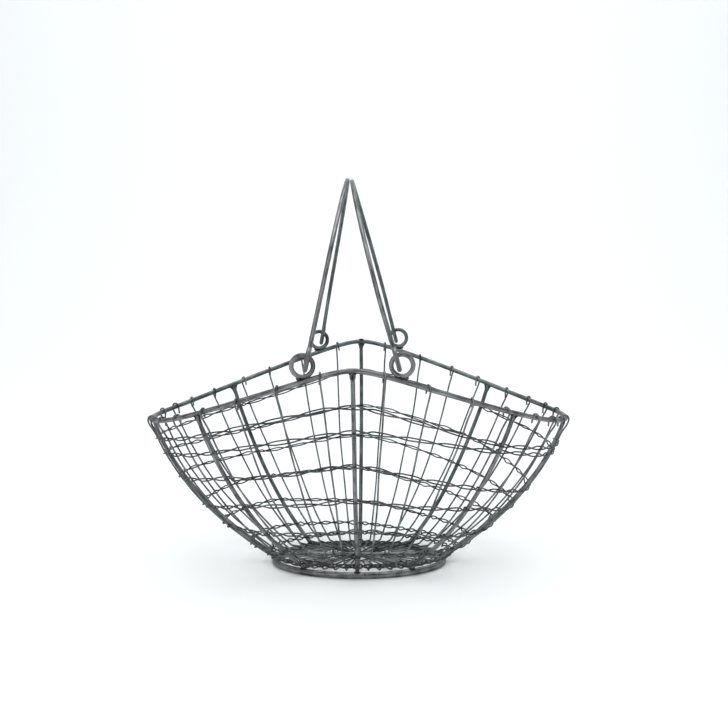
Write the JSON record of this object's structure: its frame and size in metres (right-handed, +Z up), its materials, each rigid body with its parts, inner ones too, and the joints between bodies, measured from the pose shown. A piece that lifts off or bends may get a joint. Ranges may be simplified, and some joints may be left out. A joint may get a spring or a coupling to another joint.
{
  "type": "egg collection basket",
  "caption": "Oval woven-wire egg basket with a humped rim, flared wall, foot ring and a pair of swinging bail handles that lean together over the middle.",
  "frame": {"origin": "centre of the footprint on the surface that the foot ring stands on", "axes": "+X along the long axis of the oval, towards the right end; +Y towards the back, across the short axis; +Z up"},
  "size_m": [0.404, 0.2628, 0.3742],
  "materials": {
    "rim_wire": "dark oiled iron wire, satin",
    "foot_wire": "dark oiled iron wire, satin",
    "rib_wire": "dark oiled iron wire, satin",
    "stave_wire": "dark oiled iron wire, satin",
    "weave_wire": "dark oiled iron wire, satin",
    "ring_wire": "dark oiled iron wire, satin",
    "handle_wire": "dark oiled iron wire, satin"
  },
  "bodies": {
    "basket": {"rim": "rim_wire", "foot_ring": "foot_wire", "rib_left_right": "rib_wire", "rib_front_back": "rib_wire", "rib_front_right": "rib_wire", "rib_back_right": "rib_wire", "rib_back_left": "rib_wire", "rib_front_left": "rib_wire", "staves_front_right": "stave_wire", "staves_right_front": "stave_wire", "staves_right_back": "stave_wire", "staves_back_right": "stave_wire", "staves_back_left": "stave_wire", "staves_left_back": "stave_wire", "staves_left_front": "stave_wire", "staves_front_left": "stave_wire", "weave_row_1": "weave_wire", "weave_row_2": "weave_wire", "weave_row_3": "weave_wire", "weave_row_4": "weave_wire", "weave_row_5": "weave_wire", "weave_row_6": "weave_wire", "weave_row_7": "weave_wire", "weave_row_8": "weave_wire", "weave_row_9": "weave_wire", "handle_ring_left_front": "ring_wire", "handle_ring_left_back": "ring_wire", "handle_ring_right_front": "ring_wire", "handle_ring_right_back": "ring_wire"},
    "handle_left": {"handle_left": "handle_wire"},
    "handle_right": {"handle_right": "handle_wire"}
  },
  "joints": [
    {"name": "left_handle_swing", "type": "hinge", "parent": "basket", "child": "handle_left", "pos_m": [-0.0441, -0.00039, 0.21013], "axis": [0.0153, -0.9999, 0.005], "range_deg": [0, 122]},
    {"name": "right_handle_swing", "type": "hinge", "parent": "basket", "child": "handle_right", "pos_m": [0.041, 0, 0.21114], "axis": [0, 1, 0], "range_deg": [0, 127]}
  ]
}
